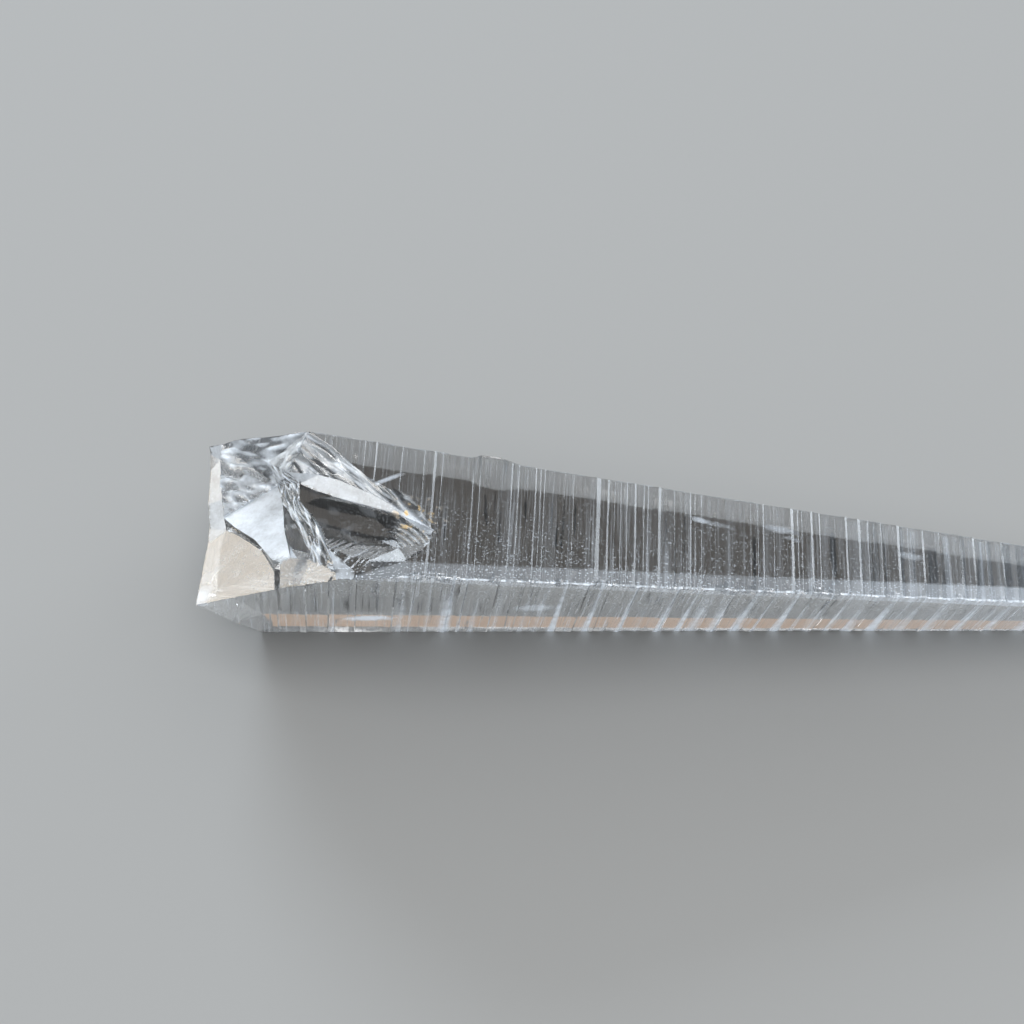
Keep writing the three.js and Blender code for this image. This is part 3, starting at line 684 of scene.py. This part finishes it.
def relief(kind, place, sizes):
    """The break's relief at a place: its height along the way the piece came off, and its frosting."""
    ripple, tear = sizes.ripple_height / MM, sizes.tear_height / MM
    if kind in PLAIN:
        height, frost = PLAIN[kind]
        return height * noise.noise(place * 0.5), frost
    if kind == "bowl":
        return bowl_relief(place, ripple)
    run, ridge_size, streak_size, shares, sunk, frost, on_ridges, on_streaks = TORN[kind]
    way = Vector(run).normalized()
    ridge = ridges(place, way, *ridge_size)
    streak = drawn_out(place, way, *streak_size)
    frost += on_ridges[1] * smooth_step(on_ridges[0], RIDGE_TOP, ridge)
    frost += on_streaks[1] * smooth_step(on_streaks[0], STREAK_TOP, streak)
    height = shares[0] * ridge + shares[1] * streak - sunk
    return height * (ripple if kind == "rippled" else tear), frost


def broken_off_piece(sizes):
    """The piece that broke off, as a closed bmesh: the break's faces, carried far out."""
    corners = break_corners()
    bm = bmesh.new()
    kind_of = bm.faces.layers.int.new("kind")
    made = {}
    for kind, faces in BREAK_FACES.items():
        for face in faces:
            for name in face.split():
                if name not in made:
                    place = corners[name.rstrip("<>-")].copy()
                    for mark in name:
                        place += PAST.get(mark, Vector())
                    made[name] = bm.verts.new(place)
            bm.faces.new([made[name] for name in face.split()])[kind_of] = KINDS.index(kind)
    bmesh.ops.recalc_face_normals(bm, faces=bm.faces)
    bmesh.ops.triangulate(bm, faces=bm.faces)

    finest = {KINDS.index(kind): share * sizes.break_mesh / MM for kind, share in BREAK_MESH.items()}
    for _ in range(HALVINGS):
        long_edges = [
            edge for edge in bm.edges if inside_reach(edge)
            and edge.calc_length() > min(finest[face[kind_of]] for face in edge.link_faces)]
        if not long_edges:
            break
        bmesh.ops.subdivide_edges(bm, edges=long_edges, cuts=1)
        bmesh.ops.poke(bm, faces=[face for face in bm.faces if len(face.verts) > 3])

    # Where kinds meet, the lowest of their reliefs holds, so that the edge between them stays put.
    frost = bm.verts.layers.float.new("frost")
    for vert in bm.verts:
        kinds = {KINDS[face[kind_of]] for face in vert.link_faces}
        reliefs = [relief(kind, vert.co, sizes) for kind in sorted(kinds)]
        height, vert[frost] = min(reliefs, key=lambda height_frost: abs(height_frost[0]))
        vert.co += AWAY * height

    far = bmesh.ops.extrude_face_region(bm, geom=bm.faces[:], use_keep_orig=True)["geom"]
    far_verts = [item for item in far if isinstance(item, bmesh.types.BMVert)]
    bmesh.ops.translate(bm, verts=far_verts, vec=AWAY * CUT_LENGTH)
    bmesh.ops.recalc_face_normals(bm, faces=bm.faces)
    return bm


def inside_reach(edge):
    """Whether an edge's middle lies near enough to the crystal to need a fine mesh."""
    middle = (edge.verts[0].co + edge.verts[1].co) / 2
    lowest, highest = FINE_REACH
    return all(low < here < high for low, here, high in zip(lowest, middle, highest))


# ---- The quartz ------------------------------------------------------------------------------

class Socket:
    """A shader value that sums and products can be written with."""

    def __init__(self, nodes, output):
        self.nodes, self.output = nodes, output

    def _math(self, operation, a, b):
        return self.nodes.add("ShaderNodeMath", {"operation": operation}, {0: a, 1: b})

    def __add__(self, other):
        return self._math("ADD", self, other)

    __radd__ = __add__

    def __sub__(self, other):
        return self._math("SUBTRACT", self, other)

    def __rsub__(self, other):
        return self._math("SUBTRACT", other, self)

    def __mul__(self, other):
        return self._math("MULTIPLY", self, other)

    __rmul__ = __mul__


class Nodes:
    """A material's nodes."""

    def __init__(self, material):
        material.use_nodes = True
        self.tree = material.node_tree
        self.tree.nodes.clear()

    def add(self, kind, settings=None, inputs=None, output=0):
        """Adds a node with its settings, then its input values or links, and returns one output."""
        node = self.tree.nodes.new(kind)
        for name, value in (settings or {}).items():
            setattr(node, name, value)
        for name, value in (inputs or {}).items():
            if isinstance(value, Socket):
                self.tree.links.new(value.output, node.inputs[name])
            else:
                node.inputs[name].default_value = value
        return Socket(self, node.outputs[output]) if node.outputs else node


class QuartzNodes(Nodes):
    """The quartz's nodes, with patterns that follow places on the crystal, in metres."""

    def __init__(self, material):
        super().__init__(material)
        self.place = self.add("ShaderNodeTexCoord", output="Object")
        self.worn = self.add("ShaderNodeAttribute", {"attribute_name": "frost"}, output="Fac")
        kind = self.add("ShaderNodeAttribute", {"attribute_name": "kind"}, output="Fac")
        self.grown = self.ramp(kind, 0.0, 1.0, 1.0, 0.0)
        along = self.add("ShaderNodeSeparateXYZ", inputs={"Vector": self.place})
        self.thin_end = self.ramp(along, 0.004, 0.03)
        self.patches = self.spread((140, 140, 140))

    def spread(self, scale, detail=2.0, roughness=0.5):
        """Noise with its own scale along X, Y and Z."""
        mapped = self.add("ShaderNodeMapping", inputs={"Vector": self.place, "Scale": scale})
        return self.add("ShaderNodeTexNoise", inputs={
            "Vector": mapped, "Scale": 1.0, "Detail": detail, "Roughness": roughness})

    def ramp(self, value, start, end, low=0.0, high=1.0):
        """low up to start, high from end on, and a straight change between."""
        return self.add("ShaderNodeMapRange", inputs={
            "Value": value, "From Min": start, "From Max": end, "To Min": low, "To Max": high})

    def vector(self, operation, a, b, output=0):
        """Vector maths on two values or sockets."""
        return self.add("ShaderNodeVectorMath", {"operation": operation}, {0: a, 1: b}, output=output)

    def off_edge(self, edge):
        """Distance from one of the crystal's long edges, or from the feather."""
        point, way = edge
        across = self.vector(
            "CROSS_PRODUCT", self.vector("SUBTRACT", self.place, point * MM), way.normalized())
        return self.vector("LENGTH", across, (0, 0, 0), output="Value")

    def on_face(self, face):
        """1 on one of the prism's faces, 0 elsewhere."""
        way = Vector((face.fall, face.normal.y, face.normal.z))
        out = self.vector("DOT_PRODUCT", self.place, way, output="Value")
        return self.ramp(out, (face.distance - FACE_REACH) * MM, (face.distance - 0.2) * MM)

    def spot(self, middle, half_sizes):
        """1 in the middle of a soft spot, 0 outside it."""
        share = [1 / (half * MM) for half in half_sizes]
        off = self.vector("MULTIPLY", self.vector("SUBTRACT", self.place, Vector(middle) * MM), share)
        return self.ramp(self.vector("LENGTH", off, (0, 0, 0), output="Value"), 1.0, 0.4)


def growth_frost(nodes, look):
    """Frost from growth: fine lines, soft bands and a haze at the thin end, fainter at the back."""
    fine = nodes.ramp(nodes.spread((7000, 90, 90), detail=1), 0.52, 0.7)
    fine = fine * nodes.ramp(nodes.patches, 0.35, 0.65, 0.4, 1.0)
    bands = nodes.ramp(nodes.spread((1100, 25, 25), detail=2), 0.5, 0.68)
    bands = bands * (0.25 + 0.75 * nodes.thin_end)
    growth = fine * look.striation + bands * look.bands + nodes.thin_end * 0.14
    back = nodes.on_face(UPPER_BACK) + nodes.on_face(LOWER_BACK)
    return growth * nodes.grown * (1 - 0.7 * back)


def edge_frost_and_glint(nodes, look):
    """Frost along the top face's worn front edge, a painted glint along its back edge, and the veil and pits
    beside the front one.
    """
    off_front, off_back = nodes.off_edge(FRONT_EDGE_LINE), nodes.off_edge(BACK_EDGE_LINE)
    edges = nodes.ramp(off_front, 0.00026, 0.00012, high=0.9)
    # a thin painted glint along the back edge
    edges = edges + nodes.ramp(off_back, 0.00014, 0.00005, high=0.45)
    ragged = nodes.ramp(nodes.spread((1600, 700, 700), detail=3), 0.3, 0.62)
    veil = nodes.ramp(off_front, 0.0021, 0.0018, high=look.veil)
    specks = nodes.ramp(nodes.spread((5500, 5500, 5500), detail=0), 0.66, 0.72)
    specks = specks * nodes.ramp(off_front, 0.012, 0.002, 0.1, 1.0) * (1 - 0.75 * nodes.thin_end)
    return edges * ragged + veil * (1 + nodes.thin_end) + specks * look.specks


def feather_frost_and_painted_highlights(nodes):
    """Frost in the feather, and the painted highlights and reflections of the soft spots."""
    feather = nodes.ramp(nodes.off_edge(FEATHER), 0.0003, 0.0001) * nodes.spot(FEATHER[0], FEATHER_SIZE)
    marks = feather * 0.8
    # the soft spots are painted highlights and reflections, mixed in as frost
    for middle, half_sizes, strength in PAINTED_HIGHLIGHTS:
        marks = marks + nodes.spot(middle, half_sizes) * strength
    return marks


def iron_stain(nodes):
    """1 on the specks of iron stain, 0 elsewhere."""
    ends, full = STAIN_REACH
    off = nodes.vector("DISTANCE", nodes.place, STAINED * MM, output="Value")
    specks = nodes.ramp(nodes.spread((1200, 1200, 1200), detail=1), 0.58, 0.66)
    return specks * nodes.ramp(off, ends * MM, full * MM)


def quartz_material(look):
    """Clear quartz, frosted where it is worn, torn or striated, with a few specks of iron stain, and with
    painted highlights and a painted glint in its frost.
    """
    material = bpy.data.materials.new("clear_quartz")
    nodes = QuartzNodes(material)
    stained = iron_stain(nodes)
    mottled = nodes.ramp(nodes.spread((420, 420, 420), detail=5, roughness=0.65), 0.32, 0.68, 0.6, 1.4)
    # the frost also carries the painted highlights and reflections of the soft spots and the painted glint on
    # the back edge
    frost = nodes.worn * mottled + growth_frost(nodes, look) + edge_frost_and_glint(nodes, look)
    frost = frost + feather_frost_and_painted_highlights(nodes) + stained * 0.5

    def unless_stained(colour):
        """The colour, with the stain's in its specks."""
        return nodes.add("ShaderNodeMix", {"data_type": "RGBA"}, {
            "Factor": stained, 6: (*colour, 1), 7: (*look.stain, 1)}, output=2)

    lines = nodes.spread((2600, 60, 60), detail=4, roughness=0.7) * nodes.grown
    grain = nodes.spread((900, 900, 900), detail=3)
    bump = nodes.add("ShaderNodeBump", inputs={
        "Height": lines * 0.8 + grain * 0.2, "Strength": 0.6, "Distance": look.line_depth})
    rough = look.roughness + 0.05 * nodes.ramp(nodes.patches, 0.5, 0.8) + 0.22 * nodes.worn
    glass = nodes.add("ShaderNodeBsdfPrincipled", inputs={
        "Base Color": unless_stained(look.tint), "Roughness": rough, "Normal": bump,
        "IOR": look.ior, "Transmission Weight": 1.0})
    frosted = nodes.add("ShaderNodeBsdfPrincipled", inputs={
        "Base Color": unless_stained(look.frost), "Roughness": 0.45, "Normal": bump,
        "IOR": look.ior, "Transmission Weight": look.frost_clearness})
    surface = nodes.add("ShaderNodeMixShader", inputs={0: frost, 1: glass, 2: frosted})
    depth = nodes.add("ShaderNodeVolumeAbsorption", inputs={
        "Color": (*look.depth_colour, 1), "Density": look.depth_density})
    nodes.add("ShaderNodeOutputMaterial", inputs={"Surface": surface, "Volume": depth})
    return material


def cut_point(bm, sizes):
    """Cuts the prism's thin end to its six end faces."""
    point = Vector(sizes.point) / MM
    outwards = math.sin(sizes.end_face_angle)
    for angle, miss in END_FACES:
        around = math.radians(angle)
        normal = Vector((
            math.cos(sizes.end_face_angle), outwards * math.cos(around), outwards * math.sin(around)))
        cut_away(bm, point + normal * miss, normal)


def cut_under_nose(bm):
    """Cuts the two flats that run down from the nose."""
    for corners in UNDER_NOSE:
        a, b, c = (Vector(corner) for corner in corners)
        normal = (b - a).cross(c - a).normalized()
        if (INSIDE - a).dot(normal) > 0:
            normal.negate()
        cut_away(bm, a, normal)


class QUARTZ_OT_add_crystal(bpy.types.Operator):
    """Adds the quartz crystal, from the break at its thick end to its point"""

    bl_idname = "quartz.add_crystal"
    bl_label = "Add crystal"

    def execute(self, context):
        sizes = context.scene.crystal_sizes
        bm = stepped_prism(sizes)
        wear(bm, sizes)
        cut_point(bm, sizes)
        cut_under_nose(bm)
        crystal = mesh_object("quartz_crystal", bm)
        cutter = mesh_object("broken_off", broken_off_piece(sizes))

        cut = crystal.modifiers.new("break", "BOOLEAN")
        cut.operation, cut.solver, cut.object = "DIFFERENCE", "MANIFOLD", cutter
        shaped = bpy.data.meshes.new_from_object(crystal.evaluated_get(context.evaluated_depsgraph_get()))
        crystal.modifiers.clear()
        crystal.data = shaped
        bpy.data.objects.remove(cutter)
        self.finish_surface(shaped)
        shaped.materials.clear()
        shaped.materials.append(quartz_material(context.scene.quartz_look))
        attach(crystal, "root")
        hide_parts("crystal")
        return {"FINISHED"}

    def finish_surface(self, mesh):
        """Brings the mesh to metres, keeps its creases sharp, and checks that it is closed."""
        bm = bmesh.new()
        bm.from_mesh(mesh)
        delete_crumbs(bm)
        bmesh.ops.scale(bm, verts=bm.verts, vec=(MM, MM, MM))
        for face in bm.faces:
            face.smooth = True
        for edge in bm.edges:
            edge.smooth = edge.calc_face_angle(0) < CREASE
        open_edges = sum(len(edge.link_faces) != 2 for edge in bm.edges)
        triangles = sum(len(face.verts) - 2 for face in bm.faces)
        if open_edges or triangles >= MOST_TRIANGLES:
            raise RuntimeError(f"the crystal has {open_edges} open edges and {triangles} triangles")
        bm.to_mesh(mesh)
        bm.free()


# ---- The stage -------------------------------------------------------------------------------

# Each light: the way to it around Z from +X and up from the floor, how far it is, its width and
# height, its colour, how bright its surface is, whether it lights the floor too, and whether it
# shows through the crystal.
LIGHTS = {
    "window_right": (43, 9, 1.05, (0.50, 0.33), (0.86, 0.93, 1.0), 4.4, True, True),
    "window_left": (119, 21, 1.05, (0.52, 0.50), (0.82, 0.91, 1.0), 6.2, True, False),
    "card_left": (147, 16, 1.10, (0.50, 0.56), (1.0, 0.88, 0.72), 6.0, False, False),
    "card_side": (176, 20, 1.10, (0.52, 0.60), (1.0, 0.93, 0.82), 3.0, False, False),
    "card_near": (225, 28, 1.10, (0.70, 1.00), (1.0, 0.94, 0.86), 4.8, False, False),
    "card_front": (270, 11, 0.90, (0.90, 0.22), (1.0, 0.99, 0.97), 14.0, False, False),
    "card_back": (83, 3, 1.30, (0.90, 0.20), (1.0, 0.50, 0.14), 0.3, False, True),
    "ceiling": (85, 52, 1.30, (0.90, 0.55), (1.0, 0.92, 0.84), 1.0, False, False),
    "overhead": (250, 60, 1.60, (1.3, 1.3), (1.0, 1.0, 1.0), 2.0, True, True),
}
LIT_BY_CARDS = ("quartz_crystal",)  # all that is lit by the lights that don't light the floor
FLOOR_HALF_SIZE = 3.0
FLOOR_GAP = 0.00004  # how far the floor lies below the crystal
SURROUND_COLOUR = (0.93, 0.97, 1.0, 1)
LIGHT_BOUNCES = 12  # enough for light that turns back and forth inside the crystal

# The camera: its place in millimetres, its picture's right and down, and its lens and sensor width.
CAMERA_PLACE = Vector((-36.0554, -211.3444, 239.1310))
CAMERA_RIGHT = Vector((0.99468, 0.04221, 0.09393))
CAMERA_DOWN = Vector((0.09540, -0.72114, -0.68619))
LENS, SENSOR_WIDTH = 108.3, 36


class QUARTZ_OT_set_stage(bpy.types.Operator):
    """Adds the floor, the lights and the camera"""

    bl_idname = "quartz.set_stage"
    bl_label = "Set the stage"

    def execute(self, context):
        look = context.scene.stage_look
        self.add_floor(look)
        self.lit_by_cards = bpy.data.collections.new("lit_by_cards")
        for piece in context.scene.objects:
            if piece.name in LIT_BY_CARDS:
                self.lit_by_cards.objects.link(piece)
        for name, light in LIGHTS.items():
            self.add_light(name, *light, look.light)
        world = bpy.data.worlds.new("surround")
        context.scene.world = world
        world.use_nodes = True
        background = world.node_tree.nodes["Background"]
        background.inputs["Color"].default_value = SURROUND_COLOUR
        background.inputs["Strength"].default_value = look.surround
        self.add_camera(context)
        cycles = context.scene.cycles
        cycles.max_bounces = LIGHT_BOUNCES
        cycles.transmission_bounces = LIGHT_BOUNCES
        cycles.glossy_bounces = LIGHT_BOUNCES
        # Without caustics the floor under the crystal stays in its shade.
        cycles.caustics_refractive = False
        cycles.caustics_reflective = False
        context.scene.view_settings.view_transform = "Standard"
        return {"FINISHED"}

    def add_floor(self, look):
        bm = bmesh.new()
        bmesh.ops.create_grid(bm, x_segments=1, y_segments=1, size=FLOOR_HALF_SIZE)
        bmesh.ops.translate(bm, verts=bm.verts, vec=(0, 0, -FLOOR_GAP))
        floor = mesh_object("floor", bm)
        material = bpy.data.materials.new("pale_floor")
        nodes = Nodes(material)
        surface = nodes.add("ShaderNodeBsdfPrincipled", inputs={
            "Base Color": (*look.floor_colour, 1), "Roughness": 0.9, "Specular IOR Level": 0.1})
        nodes.add("ShaderNodeOutputMaterial", inputs={"Surface": surface})
        floor.data.materials.append(material)

    def add_light(self, name, around, up, far, size, colour, bright, on_floor, seen_through, share):
        around, up = math.radians(around), math.radians(up)
        place = far * Vector((math.cos(up) * math.cos(around), math.cos(up) * math.sin(around), math.sin(up)))
        data = bpy.data.lights.new(name, "AREA")
        data.shape = "RECTANGLE"
        data.size, data.size_y = size
        data.color = colour
        data.energy = bright * share * math.pi * size[0] * size[1]
        light = bpy.data.objects.new(name, data)
        light.location = place
        light.rotation_mode = "QUATERNION"
        light.rotation_quaternion = (-place).to_track_quat("-Z", "Y")
        light.visible_transmission = seen_through
        if not on_floor:
            light.light_linking.receiver_collection = self.lit_by_cards
        bpy.context.scene.collection.objects.link(light)

    def add_camera(self, context):
        data = bpy.data.cameras.new("camera")
        data.lens, data.sensor_width = LENS, SENSOR_WIDTH
        data.clip_start, data.clip_end = 0.01, 20
        camera = bpy.data.objects.new("camera", data)
        right, up = CAMERA_RIGHT.normalized(), -CAMERA_DOWN.normalized()
        turn = Matrix((right, up, right.cross(up))).transposed().to_4x4()
        camera.matrix_world = Matrix.Translation(CAMERA_PLACE * MM) @ turn
        context.scene.collection.objects.link(camera)
        context.scene.camera = camera


class QUARTZ_PT_panel(bpy.types.Panel):
    """The crystal's sizes and looks"""

    bl_idname = "QUARTZ_PT_panel"
    bl_label = "Quartz crystal"
    bl_space_type = "VIEW_3D"
    bl_region_type = "UI"
    bl_category = "Quartz"

    def draw(self, context):
        for operator, settings in (
            (QUARTZ_OT_add_crystal, (context.scene.crystal_sizes, context.scene.quartz_look)),
            (QUARTZ_OT_set_stage, (context.scene.stage_look,)),
        ):
            box = self.layout.box()
            for group in settings:
                for name in group.bl_rna.properties.keys():
                    if name not in {"rna_type", "name"}:
                        box.prop(group, name)
            box.operator(operator.bl_idname)


CLASSES = (
    CrystalSizes, QuartzLook, StageLook, QUARTZ_OT_add_crystal, QUARTZ_OT_set_stage, QUARTZ_PT_panel)


def register():
    for cls in CLASSES:
        bpy.utils.register_class(cls)
    bpy.types.Scene.crystal_sizes = PointerProperty(type=CrystalSizes)
    bpy.types.Scene.quartz_look = PointerProperty(type=QuartzLook)
    bpy.types.Scene.stage_look = PointerProperty(type=StageLook)


def unregister():
    del bpy.types.Scene.crystal_sizes, bpy.types.Scene.quartz_look, bpy.types.Scene.stage_look
    for cls in reversed(CLASSES):
        bpy.utils.unregister_class(cls)


def main():
    register()
    bpy.ops.quartz.add_crystal()
    bpy.ops.quartz.set_stage()


if __name__ == "__main__":
    main()
